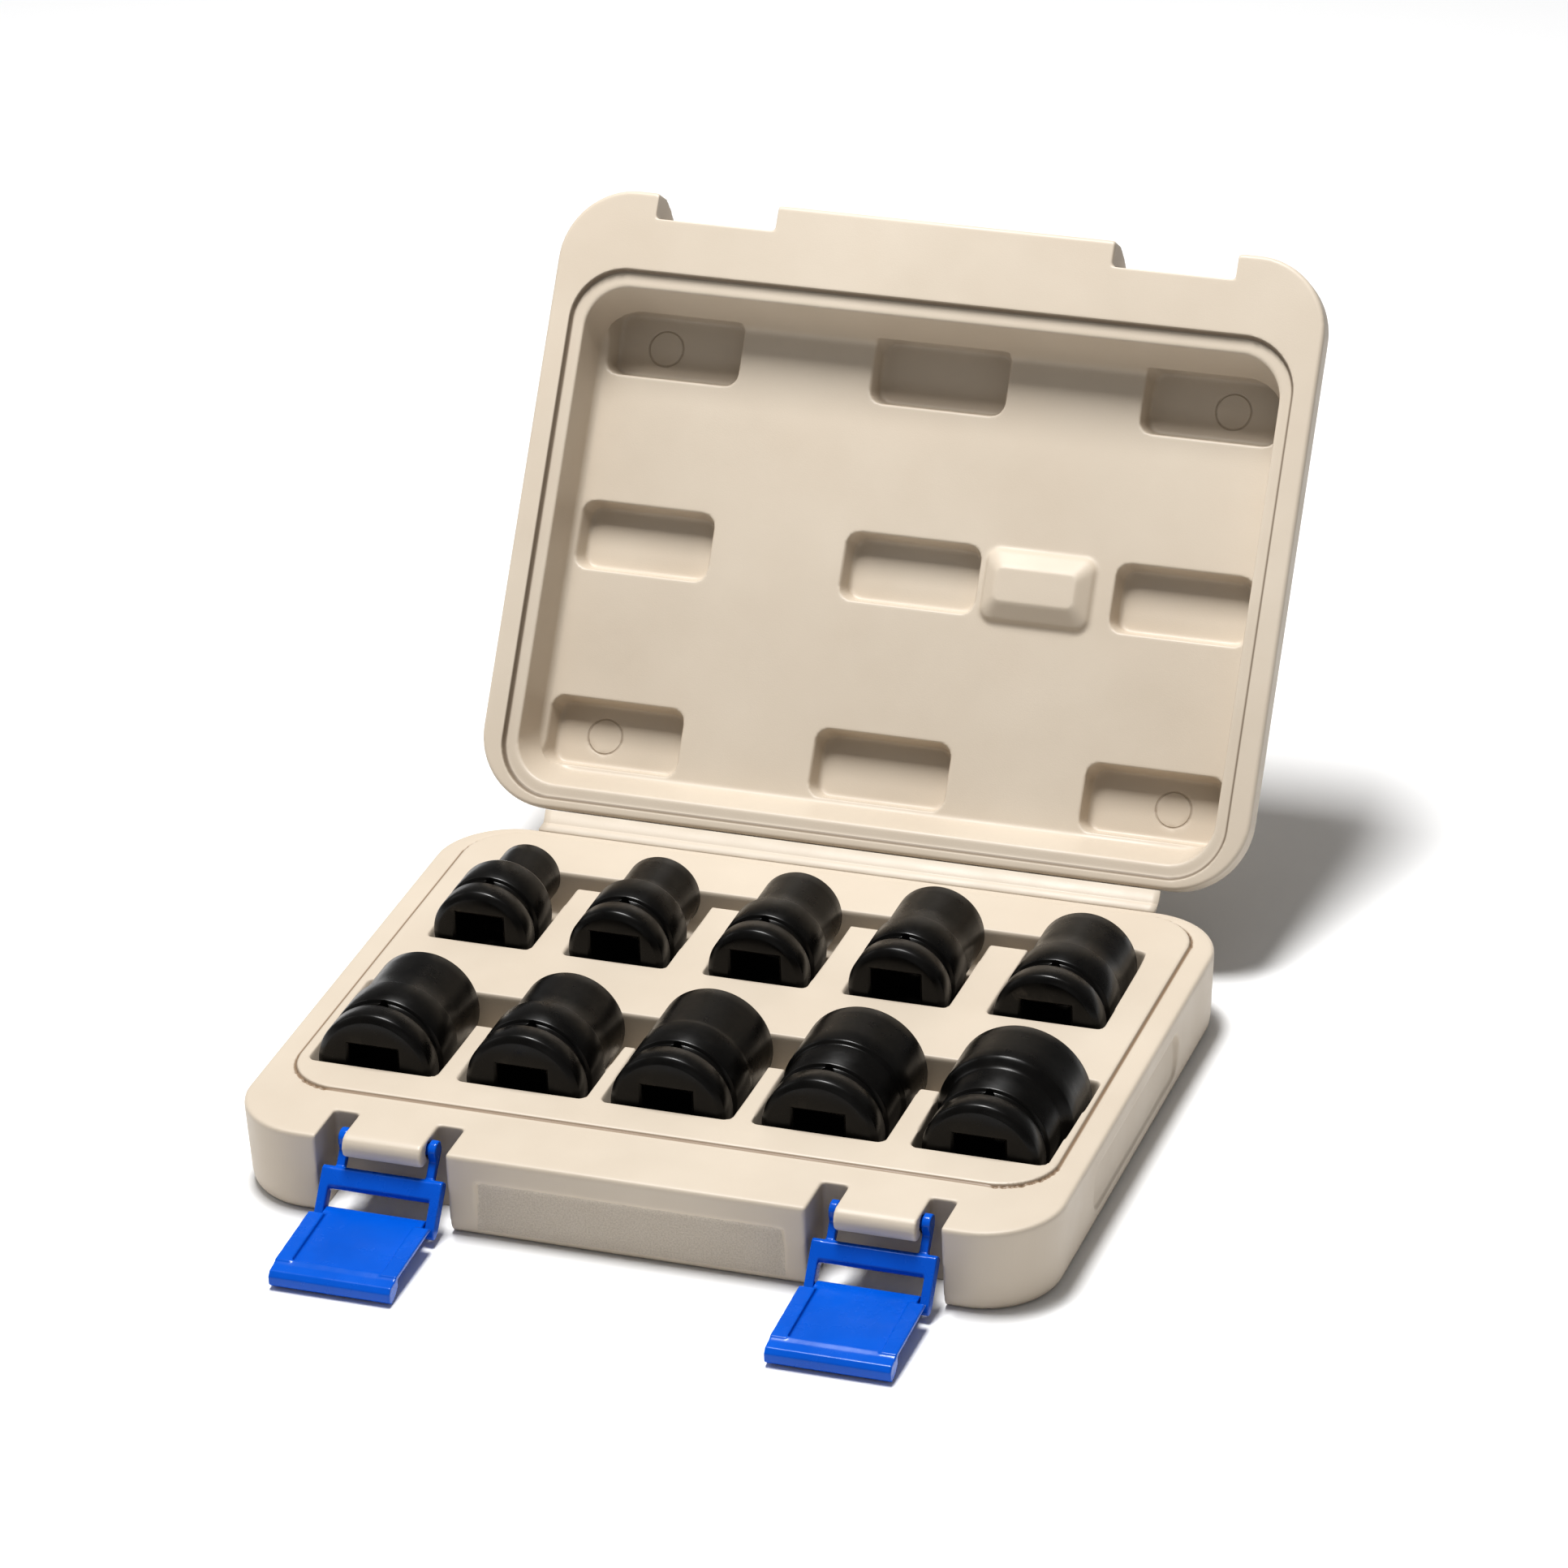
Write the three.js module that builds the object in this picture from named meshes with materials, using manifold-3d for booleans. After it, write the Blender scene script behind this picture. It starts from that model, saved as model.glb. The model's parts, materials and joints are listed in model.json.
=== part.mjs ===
// Impact socket set in a blow-moulded carry case, lid open, latches hanging in front.
// Millimetres, +Z up, +Y towards the hinge, origin under the middle of the base.
import * as THREE from 'three';
import Module from 'manifold-3d';
import { mergeVertices } from 'three/addons/utils/BufferGeometryUtils.js';
import { ConvexGeometry } from 'three/addons/geometries/ConvexGeometry.js';

const wasm = await Module();
wasm.setup();

// ---- driving dimensions -------------------------------------------------------------------
const CASE_W = 210;            // width of both case halves at the parting plane
const CASE_D = 166;            // depth of both case halves, front to hinge side
const BASE_H = 22.7;           // base height up to its rim
const LID_H = 27;              // lid depth from its rim to the outer panel
const CORNER_R = 20;           // plan radius of the case corners
const WALL = 1.8;              // moulded wall thickness
const GAP = 0.3;               // clearance between touching pieces
const OPEN_ANGLE = 123.4;      // how far the lid stands open
const DRAIN_R = 2.6;           // blow-needle hole in each hollow half
const HINGE = { offset: 3.8, w: 168, t: 1.3 };

const left = -CASE_W / 2, front = -CASE_D / 2, back = CASE_D / 2;
const TRAY = { w: CASE_W - 13.6, front: front + 22.3, rear: back - 3.6, rise: 0.8, r: 14 };

const SOCKET_L = 38;           // length of every socket
const SQUARE = 12.9;           // drive square, across flats
const SQUARE_DEPTH = 16;
const HEX_DEPTH = 17;
const ROUND = 24;              // segments around a socket
const ROW_Y = -48.1;           // drive faces of the front row
const ROW_GAP = 29.7;          // from the noses of the front row to the drives of the back row
// y: drive faces; fingers: finger channel before and behind the noses; drives and noses are diameters
const ROWS = [
  { y: ROW_Y, pocket: 34.5, fingers: [11.6, 4.3], sockets: [
    { size: 18, x: -78.4, z: 22.0, nose: 28, drive: 30 },
    { size: 17, x: -39.2, z: 22.3, nose: 27.2, drive: 30 },
    { size: 19, x: -1.4, z: 22.2, nose: 29.7, drive: 30 },
    { size: 21, x: 37.6, z: 21.8, nose: 32, drive: 30 },
    { size: 24, x: 78.4, z: 21.3, nose: 34.8, drive: 30 }] },
  { y: ROW_Y + SOCKET_L + ROW_GAP, pocket: 28.4, fingers: [4.4, 3.1], sockets: [
    { size: 10, x: -76.3, z: 24.2, nose: 16.8, drive: 25.6 },
    { size: 12, x: -39.6, z: 24.0, nose: 20.2, drive: 25.6 },
    { size: 13, x: -2.0, z: 24.1, nose: 21.9, drive: 25.6 },
    { size: 14, x: 35.2, z: 24.4, nose: 23.8, drive: 25.6 },
    { size: 16, x: 74.4, z: 21.4, nose: 26, drive: 28 }] },
];
const POCKET_R = 1.6;          // plan radius of the pocket corners
const CHANNEL_DEPTH = 11;

const BAR = { w: 20.6, h: 6.2, nose: 0.4 };      // the bar that a latch hangs on
const PIVOT = { y: front + 6.8, z: BASE_H - 3.3, r: 1.9 };
const LINK = { w: BAR.w + 10.8, arm: 2.1, rail: 2.4, len: 19.6, t: 3.6, cross: 10.2, bar: 5.6,
  pin: 1.5, lean: -53 };
const LEVER = { len: 26.2, t: 2, lip: 4.4, drop: 1.9, rise: 2.7, r: 2.3, tilt: -3, flange: 2.6 };
const BAY = { x: 62.9, w: LINK.w + 2.6, depth: 13.4 };
const NOTCH = { w: LINK.w + 1.8, depth: 6.9, recess: 9.1 };

const LID_PANEL = 16.5;        // depth of the lid's inner panel below its rim
const PAD = { w: 37.7, h: 18.7, depth: 6.3, r: 3.6, dx: 74.1, y: 7.6, dy: 52.7 };
const BOSS = { x: 35.3, y: ROW_Y + SOCKET_L + 18.3, w: 31, d: 20.4, top_w: 21.4, top_d: 9, h: 4 };

// ---- small solid helpers ------------------------------------------------------------------
const rad = (deg) => deg * Math.PI / 180;

// a closed three.js geometry as a solid that can be cut and joined
function solidOf(geometry) {
  for (const name of ['normal', 'uv']) geometry.deleteAttribute(name);
  const merged = mergeVertices(geometry, 1e-4);
  const all = merged.index.array, tris = [];
  for (let i = 0; i < all.length; i += 3) {
    const [a, b, c] = [all[i], all[i + 1], all[i + 2]];
    if (a !== b && b !== c && c !== a) tris.push(a, b, c);
  }
  return new wasm.Manifold(new wasm.Mesh({
    numProp: 3, vertProperties: merged.attributes.position.array, triVerts: new Uint32Array(tris) }));
}

const join = (solids) => solids.reduce((sum, s) => sum.add(s));
const box = (x0, x1, y0, y1, z0, z1) => solidOf(new THREE.BoxGeometry(x1 - x0, y1 - y0, z1 - z0)
  .translate((x0 + x1) / 2, (y0 + y1) / 2, (z0 + z1) / 2));
// cylinders along Y and along X
const rodY = (r0, r1, y0, y1, x, z, n) => solidOf(new THREE.CylinderGeometry(r1, r0, y1 - y0, n)
  .translate(x, (y0 + y1) / 2, z));
const rodX = (r, x0, x1, y, z, n = 20) => solidOf(new THREE.CylinderGeometry(r, r, x1 - x0, n)
  .rotateZ(-Math.PI / 2).translate((x0 + x1) / 2, y, z));
const rodZ = (r, z0, z1, x, y, n) => solidOf(new THREE.CylinderGeometry(r, r, z1 - z0, n)
  .rotateX(Math.PI / 2).translate(x, y, (z0 + z1) / 2));
const hull = (points) => solidOf(new ConvexGeometry(points.map((p) => new THREE.Vector3(...p))));

// a profile of [y, z] points drawn out from x0 to x1
function extrudeX(profile, x0, x1) {
  const shape = new THREE.Shape(profile.map(([y, z]) => new THREE.Vector2(y, z)));
  const g = new THREE.ExtrudeGeometry(shape, { depth: x1 - x0, bevelEnabled: false });
  return solidOf(g.applyMatrix4(new THREE.Matrix4().set(0, 0, 1, x0, 1, 0, 0, 0, 0, 1, 0, 0, 0, 0, 0, 1)));
}

// points of a rounded rectangle at height z
function ring(x0, x1, y0, y1, r, z, n = 6) {
  const pts = [];
  const corners = [[x1 - r, y1 - r], [x0 + r, y1 - r], [x0 + r, y0 + r], [x1 - r, y0 + r]];
  corners.forEach(([cx, cy], q) => {
    for (let i = 0; i <= n; i++) {
      const a = (q + i / n) * Math.PI / 2;
      pts.push([cx + r * Math.cos(a), cy + r * Math.sin(a), z]);
    }
  });
  return pts;
}

// solid through the case outline: levels are [z, inset] pairs
function tub(levels, grow = 0) {
  return hull(levels.flatMap(([z, inset]) => {
    const s = inset - grow;
    return ring(left + s, -left - s, front + s, back - s, Math.max(CORNER_R - s, 2), z);
  }));
}

// the biggest separate piece of a hollow, so that no small sealed pockets are left in the walls
const largest = (solid) => solid.decompose().sort((a, b) => b.volume() - a.volume())[0];

// ---- base ---------------------------------------------------------------------------------
const trayTop = BASE_H + TRAY.rise;
const baseLevels = [[0, 3.4], [0.7, 2.2], [2, 1.3], [4.5, 0.9], [BASE_H - 0.7, 0], [BASE_H, 0.7]];
const channelOf = (row) => [row.y + SOCKET_L - row.fingers[0], row.y + SOCKET_L + row.fingers[1]];

// drafted pocket under one socket, wider at the nose when the nose is the wider end
function pocket(row, s, grow = 0) {
  const y0 = row.y - 1 - grow, y1 = channelOf(row)[1] - 0.6 + grow;
  const wf = Math.max(s.drive + 2.6, row.pocket) / 2 + grow;
  const wr = Math.max(s.nose + 2.2, row.pocket + 1) / 2 + grow;
  const r = Math.max(s.nose, s.drive) / 2;
  const low = 0.88 * r + 1.1 + grow, foot = 0.6 * r + grow;
  const level = (z, f, b) => [
    ...ring(s.x - f, s.x + f, y0, y0 + 8, POCKET_R + grow, z, 2),
    ...ring(s.x - b, s.x + b, y1 - 8, y1, POCKET_R + grow, z, 2)];
  return hull([...level(trayTop + 1, wf, wr), ...level(s.z - 0.55 * r, low, low),
    ...level(Math.max(s.z - r - GAP - grow, 0), foot, foot)]);
}

function pocketsOf(row, grow = 0) {
  const xs = row.sockets.map((s) => s.x), half = row.pocket / 2 - 1;
  const [c0, c1] = channelOf(row), x0 = Math.min(...xs) - half, x1 = Math.max(...xs) + half;
  const channel = hull([
    ...ring(x0 - grow, x1 + grow, c0 - grow, c1 + grow, 2 + grow, trayTop + 1, 3),
    ...ring(x0 + 1 - grow, x1 - 1 + grow, c0 + 0.5 - grow, c1 - 0.5 + grow, 2 + grow,
      trayTop - CHANNEL_DEPTH - grow, 3)]);
  return join([channel, ...row.sockets.map((s) => pocket(row, s, grow))]);
}

// the open bay under a latch: two slots, and between them the rounded bar that the latch hangs on
function bayCut(cx) {
  const rear = front + BAY.depth, nose = front + BAR.nose, half = BAR.w / 2, low = BASE_H - BAR.h;
  const bay = box(cx - BAY.w / 2, cx + BAY.w / 2, front - 5, rear, -1, trayTop + 1);
  const bar = extrudeX([[rear + 1, low], [nose + 2.2, low], [nose + 0.5, low + 1.6],
    [nose, low + 3.2], [nose + 0.4, BASE_H - 1.5], [nose + 1.5, BASE_H - 0.4],
    [nose + 3, BASE_H], [rear + 1, BASE_H]], cx - half, cx + half);
  const reach = LINK.pin + 0.4;
  const holes = [[-half - 1, -half + reach], [half - reach, half + 1]].map(([x0, x1]) =>
    rodX(PIVOT.r, cx + x0, cx + x1, PIVOT.y, PIVOT.z));
  return bay.subtract(bar.subtract(join(holes)));
}

// shallow panel pressed into a side wall, and the blank label field in the front
function sidePanel(side) {
  const at = ([z, y, x]) => [side * (CASE_W / 2 - 1.7 + x * 1.6), y, 11 + z * 1.25];
  return hull([...ring(-5, 5, -38, 34, 4, 0, 3), ...ring(-5, 5, -39.5, 35.5, 4, 1.4, 3)].map(at));
}
function labelField() {
  const at = ([x, z, out]) => [x, front + 1.25 - out * 2, z];
  return hull([...ring(-38.6, 40.2, 2.2, 15.8, 1.2, 0, 2), ...ring(-39, 40.6, 1.8, 16.2, 1.2, 1, 2)].map(at));
}

function makeBase() {
  const w = TRAY.w / 2, bays = [-BAY.x, BAY.x];
  const outside = tub(baseLevels).add(hull([
    ...ring(-w, w, TRAY.front, TRAY.rear, TRAY.r, BASE_H - 2),
    ...ring(-w, w, TRAY.front, TRAY.rear, TRAY.r, trayTop - 0.3),
    ...ring(-w + 0.3, w - 0.3, TRAY.front + 0.3, TRAY.rear - 0.3, TRAY.r - 0.3, trayTop)]));
  // hollow between the outer wall and the tray, as blow moulding leaves it
  const walls = [...ROWS.map((row) => pocketsOf(row, WALL)), ...bays.map((cx) =>
    box(cx - BAY.w / 2 - WALL, cx + BAY.w / 2 + WALL, front - 1, front + BAY.depth + WALL, -1, BASE_H + 1))];
  const hollow = tub([[WALL, 3.4], [4.5, 0.9], [BASE_H - WALL, 0.2]], -WALL).subtract(join(walls));
  const cuts = [largest(hollow), sidePanel(-1), sidePanel(1), labelField(),
    ...ROWS.map((row) => pocketsOf(row)), ...bays.map(bayCut), rodZ(DRAIN_R, -1, WALL + 2, 0, 6, 12)];
  return cuts.reduce((solid, cut) => solid.subtract(cut), outside);
}

// ---- lid, built closed over the base ------------------------------------------------------
const lidRim = BASE_H + GAP;
const lidTop = lidRim + LID_H;
const lidProfile = [[lidRim, 0.6], [lidRim + 0.6, 0], [lidRim + 7, 0.3], [lidRim + 12, 2.4],
  [lidTop - 9.3, 6], [lidTop - 5, 9], [lidTop - 2.5, 11.2], [lidTop - 1, 13.2], [lidTop, 16]];

// the step at the rim, the well, and the nine pads pressed further into it
function lidInside(grow = 0) {
  const w = TRAY.w / 2 + 0.8 + grow, panel = lidRim + LID_PANEL + grow;
  const rim = (z) => ring(-w, w, TRAY.front - 1 - grow, TRAY.rear + 0.9 + grow, TRAY.r + 0.8, z);
  const well = (side, near, far, r, z) => ring(left + side - grow, -left - side + grow,
    front + near - grow, back - far + grow, r + grow, z);
  const parts = [
    hull([...rim(lidRim - 1), ...rim(lidRim + 1.7 + grow)]),
    hull([...well(9.4, 24.6, 5.8, 12, lidRim - 1), ...well(10.6, 30.4, 11.4, 11, panel - 1.5),
      ...well(11.8, 32, 12.6, 10, panel)])];
  for (const i of [-1, 0, 1]) {
    for (const j of [-1, 0, 1]) {
      const x = i * PAD.dx, y = PAD.y + j * PAD.dy;
      const pad = (inset, z) => {
        const a = PAD.w / 2 + grow - inset, b = PAD.h / 2 + grow - inset;
        return ring(x - a, x + a, y - b, y + b, PAD.r + grow, z, 4);
      };
      // the hollow behind a pad is cut right through to the outer panel
      parts.push(hull([...pad(0, panel - 2), ...pad(0.3, panel + 0.6),
        ...pad(1.1, panel + PAD.depth + (grow ? 4 : 0))]));
    }
  }
  return join(parts);
}

// the open notch in the lid's front edge that takes one latch; past a lip at the rim it is
// deeper, and the cross bar of the link drops in behind that lip
const lipTop = PIVOT.z + LINK.cross - LINK.bar / 2 - 0.6;
function notchCut(cx) {
  const x0 = cx - NOTCH.w / 2, x1 = cx + NOTCH.w / 2;
  return box(x0, x1, front - 5, front + NOTCH.depth, lidRim - 1, lidTop + 1)
    .add(box(x0, x1, front - 5, front + NOTCH.recess, lipTop, lidTop + 1));
}

function makeLid() {
  const bays = [-BAY.x, BAY.x];
  const roof = lidTop - WALL;
  const levels = lidProfile.slice(1, -2).map(([z, inset]) => [Math.min(z, roof), inset]);
  const walls = [box(left, -left, front, back, -1, lidRim + WALL), lidInside(WALL), ...bays.map((cx) =>
    box(cx - NOTCH.w / 2 - WALL, cx + NOTCH.w / 2 + WALL,
      front - 1, front + NOTCH.recess + WALL, 0, lidTop))];
  const hollow = tub([...levels, [roof, 12.8]], -WALL).subtract(join(walls));
  // raised boss on the inner panel, which comes down between the two rows
  const panel = lidRim + LID_PANEL;
  const block = (w, d, r, z) => ring(BOSS.x - w / 2, BOSS.x + w / 2, BOSS.y - d / 2, BOSS.y + d / 2, r, z, 4);
  const boss = hull([...block(BOSS.w, BOSS.d, 3.5, panel + 0.6),
    ...block(BOSS.top_w, BOSS.top_d, 1.5, panel - BOSS.h)]);
  const drain = rodZ(DRAIN_R, roof - 2, lidTop + 2, 0, PAD.y + PAD.dy / 2, 12);
  const cuts = [largest(hollow), lidInside(), ...bays.map(notchCut)];
  return cuts.reduce((solid, cut) => solid.subtract(cut), tub(lidProfile)).add(boss).subtract(drain);
}

const axis = { y: back + HINGE.offset, z: BASE_H + GAP / 2 };

// half of the thin hinge web, on the base side or, above the parting plane, on the lid side
function hingeStrip(z, up) {
  const y0 = back + GAP, y1 = axis.y - GAP / 2, end = z + up * HINGE.t;
  return extrudeX([[y0, z], [y1, z], [y1, z + up * 0.5], [y1 - 0.5, end], [y0, end]],
    -HINGE.w / 2, HINGE.w / 2);
}

// ---- latches ------------------------------------------------------------------------------
// built about their own pivot: u runs forward along the piece, v to its outer side
const alongX = (profile, x0, x1) => extrudeX(profile.map(([u, v]) => [-u, v]),
  Math.min(x0, x1), Math.max(x0, x1));
const half = LINK.w / 2, inner = half - LINK.rail - GAP;

// two arms hooked to the bar, a cross bar, and two rails down to the knee
function makeLink() {
  const t = LINK.t / 2, { len, cross, bar } = LINK, c0 = cross - bar / 2, c1 = cross + bar / 2;
  const armIn = BAR.w / 2 + GAP, armOut = armIn + LINK.arm;
  const pieces = [alongX([[c0 + 0.8, -t], [c1 - 0.8, -t], [c1, -t + 0.8], [c1, t - 0.8],
    [c1 - 0.8, t], [c0 + 0.8, t], [c0, t - 0.8], [c0, -t + 0.8]], -half, half)];
  for (const side of [-1, 1]) {
    pieces.push(
      // the arm is thin where it passes the lip of the lid
      alongX([[-2.4, -0.8], [-1.2, -2.1], [0, -2.4], [c0 + 1, -t - 0.3], [c0 + 1, 0.1], [3, 0.1],
        [2, 1.4], [0.9, 2.3], [0, 2.4], [-1.2, 2.1], [-2.4, 0.8]], side * armIn, side * armOut),
      alongX([[c0 + 0.6, -t], [len, -t], [len + 1.6, -t + 0.7], [len + 2.2, 0],
        [len + 1.6, t - 0.7], [len, t], [c0 + 0.6, t]], side * (half - LINK.rail), side * half));
    const hook = [side * (armIn - LINK.pin), side * armOut].sort((a, b) => a - b);
    const knee = [side * (inner - 1.3), side * (half - 1)].sort((a, b) => a - b);
    pieces.push(rodX(LINK.pin, ...hook, 0, 0, 16), rodX(1.1, ...knee, -len, 0, 14));
  }
  return join(pieces);
}

// plate with a barrel at the knee, raised side flanges over the rails, and a finger lip
function makeLever() {
  const { len, t, drop, rise, flange } = LEVER, low = 0.4, top = low + t, end = len + LEVER.lip;
  const over = LINK.t / 2 + 0.4, crest = over + 1.3;
  const pieces = [
    rodX(LEVER.r, -inner, inner, 0, 0),
    alongX([[0, low], [len, low], [len, top], [0.8, top], [0, LEVER.r - 0.1]], -inner, inner),
    alongX([[len - 1.5, low], [len + 0.6, 0.7 - drop], [end - 1.2, -drop], [end, 1.2 - drop],
      [end, rise - 1.2], [end - 1.2, rise], [len + 0.6, rise + 0.2], [len - 1.5, crest]],
    -half, half)];
  for (const side of [-1, 1]) {
    pieces.push(
      alongX([[flange, low + 1], [len, low + 1], [len - 0.6, crest], [flange + 1.6, crest],
        [flange, crest - 1]], side * (inner - 1.4), side * inner),
      alongX([[flange, over], [len, over], [len - 0.6, crest], [flange + 1.6, crest],
        [flange, crest - 1]], side * (inner - 1.4), side * half));
  }
  const holes = [-1, 1].map((side) => rodX(1.1 + GAP,
    ...[side * (inner - 1.7), side * (inner + 0.2)].sort((a, b) => a - b), 0, 0, 14));
  return join(pieces).subtract(join(holes));
}

// ---- sockets ------------------------------------------------------------------------------
// along +Y from the drive face, which is at y = 0
function makeSocket(s) {
  const rd = s.drive / 2, rn = s.nose / 2, L = SOCKET_L, step = Math.abs(rd - rn);
  const outline = [[0, 0], [rd - 1.6, 0], [rd, 1.3], [rd, 6.6], [rd - 1.1, 7], [rd - 1.1, 9.4],
    [rd, 9.8], [rd, L / 2]];
  if (step > 0.4) outline.push([rn, L / 2 + Math.min(step * 1.2, 5.5)]);
  outline.push([rn, L - 1], [rn - 0.9, L], [0, L]);
  const body = solidOf(new THREE.LatheGeometry(outline.map((p) => new THREE.Vector2(...p)), ROUND));
  const hexR = (s.size + GAP) / Math.sqrt(3), sq = SQUARE / 2;
  const square = (q, y) => [[q, y, q], [-q, y, q], [q, y, -q], [-q, y, -q]];
  return body.subtract(join([
    rodY(hexR, hexR, L - HEX_DEPTH, L + 1, 0, 0, 6),
    rodY(hexR - 0.3, Math.min(hexR + 1, rn - 1.1) + 0.1, L - 1.2, L + 0.1, 0, 0, 12),
    hull([...square(sq, -1), ...square(sq, SQUARE_DEPTH)]),
    hull([...square(sq + 0.7, -1), ...square(sq, 0.7)]),
    rodY(3.6, 3.6, SQUARE_DEPTH - 1, L - HEX_DEPTH + 1, 0, 0, 12),
    rodZ(1.5, -rd - 2, rd + 2, 0, 8.2, 8)]));
}

// ---- assembly -----------------------------------------------------------------------------
function toGeometry(solid) {
  const mesh = solid.getMesh(), n = mesh.numProp;
  const xyz = Array.from({ length: mesh.numVert * 3 }, (_, i) =>
    mesh.vertProperties[Math.floor(i / 3) * n + i % 3]);
  const geometry = new THREE.BufferGeometry();
  geometry.setAttribute('position', new THREE.Float32BufferAttribute(xyz, 3));
  geometry.setIndex(new THREE.BufferAttribute(new Uint32Array(mesh.triVerts), 1));
  return mergeVertices(geometry, 1e-4);
}

const shell = { color: 0xd9cfbf, roughness: 0.5, metalness: 0 };
const blue = { color: 0x0a4fd0, roughness: 0.25, metalness: 0 };
const steel = { color: 0x1c1a17, roughness: 0.42, metalness: 0.8 };

function add(parent, name, solid, look, x = 0, y = 0, z = 0) {
  const mesh = new THREE.Mesh(toGeometry(solid), new THREE.MeshStandardMaterial(look));
  mesh.name = name;
  mesh.position.set(x, y, z);
  parent.add(mesh);
}

// a nested group turned about an axis along X
function turned(parent, x, y, z, deg) {
  const group = new THREE.Group();
  group.position.set(x, y, z);
  group.rotation.x = rad(deg);
  parent.add(group);
  return group;
}

const caseGroup = new THREE.Group();
add(caseGroup, 'base_shell', makeBase(), shell);
add(caseGroup, 'hinge_strip_base', hingeStrip(BASE_H, -1), shell);
const lid = turned(caseGroup, 0, axis.y, axis.z, -OPEN_ANGLE);
add(lid, 'lid_shell', makeLid(), shell, 0, -axis.y, -axis.z);
add(lid, 'hinge_strip_lid', hingeStrip(lidRim, 1), shell, 0, -axis.y, -axis.z);
for (const [side, x] of [['left', -BAY.x], ['right', BAY.x]]) {
  const link = turned(caseGroup, x, PIVOT.y, PIVOT.z, -LINK.lean);
  add(link, `latch_link_${side}`, makeLink(), blue);
  const lever = turned(link, 0, -LINK.len, 0, LINK.lean - LEVER.tilt);
  add(lever, `latch_lever_${side}`, makeLever(), blue);
}
for (const row of ROWS) {
  for (const s of row.sockets) {
    add(caseGroup, `socket_${s.size}`, makeSocket(s), steel, s.x, row.y, s.z);
  }
}

export default caseGroup;
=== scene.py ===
"""Looks of the impact socket set in its blow-moulded case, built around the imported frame."""
import json
import math

import bmesh
import bpy
from mathutils import Matrix, Vector


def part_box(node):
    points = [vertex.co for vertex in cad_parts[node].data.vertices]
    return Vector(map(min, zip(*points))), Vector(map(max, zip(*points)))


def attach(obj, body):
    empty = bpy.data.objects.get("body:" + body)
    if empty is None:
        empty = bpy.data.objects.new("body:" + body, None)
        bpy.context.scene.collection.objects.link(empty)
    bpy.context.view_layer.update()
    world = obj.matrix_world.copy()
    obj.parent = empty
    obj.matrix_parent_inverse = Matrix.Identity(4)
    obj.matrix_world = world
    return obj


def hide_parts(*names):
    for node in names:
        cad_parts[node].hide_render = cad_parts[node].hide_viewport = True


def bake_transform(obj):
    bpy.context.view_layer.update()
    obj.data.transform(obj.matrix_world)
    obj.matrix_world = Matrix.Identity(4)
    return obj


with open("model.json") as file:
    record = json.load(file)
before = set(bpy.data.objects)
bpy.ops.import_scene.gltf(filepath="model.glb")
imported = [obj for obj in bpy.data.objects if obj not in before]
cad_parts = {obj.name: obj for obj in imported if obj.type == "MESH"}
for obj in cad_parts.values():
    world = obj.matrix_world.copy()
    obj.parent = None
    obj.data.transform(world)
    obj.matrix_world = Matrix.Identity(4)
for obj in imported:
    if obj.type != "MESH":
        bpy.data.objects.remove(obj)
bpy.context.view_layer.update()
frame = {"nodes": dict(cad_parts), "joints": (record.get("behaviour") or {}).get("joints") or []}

MM = 0.001


# ---- sizes, in millimetres, worked out from the frame -------------------------------------------
def box_mm(node):
    """Lowest and highest corners of a CAD node, in millimetres."""
    low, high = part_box(node)
    return low / MM, high / MM


JOINTS = {j["name"]: j for j in frame["joints"]}
HINGE = Vector(JOINTS["lid_hinge"]["pos_m"]) / MM
OPEN_DEG = -JOINTS["lid_hinge"]["range_deg"][0]
BASE_LOW, BASE_HIGH = box_mm("base_shell")
LEFT, RIGHT = BASE_LOW.x, BASE_HIGH.x
FRONT, BACK = BASE_LOW.y, BASE_HIGH.y
TRAY_TOP = BASE_HIGH.z
GAP = 0.3
TRAY_RISE = 0.8
BASE_H = TRAY_TOP - TRAY_RISE
LID_RIM = BASE_H + GAP
LID_H = 27.0
LID_TOP = LID_RIM + LID_H
CORNER_R = 20.0
TRAY = {"w": RIGHT - LEFT - 13.6, "front": FRONT + 22.3, "rear": BACK - 3.6, "r": 14.0}

SOCKET_L = 38.0
BAND_FROM, BAND_TO = 12.5, 4.0   # a socket's blank band, measured back from its nose
SQUARE = 12.9
SQUARE_DEPTH = 16.0
HEX_DEPTH = 17.0
# nominal size: diameter of the nose and of the drive end
SOCKETS = {
    18: (28.0, 30.0), 17: (27.2, 30.0), 19: (29.7, 30.0), 21: (32.0, 30.0), 24: (34.8, 30.0),
    10: (16.8, 25.6), 12: (20.2, 25.6), 13: (21.9, 25.6), 14: (23.8, 25.6), 16: (26.0, 28.0),
}
ROWS = [
    {"sizes": (18, 17, 19, 21, 24), "pocket": 34.5, "fingers": (11.6, 4.3)},
    {"sizes": (10, 12, 13, 14, 16), "pocket": 28.4, "fingers": (4.4, 3.1)},
]
POCKET_R = 1.6
CHANNEL_DEPTH = 11.0

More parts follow.
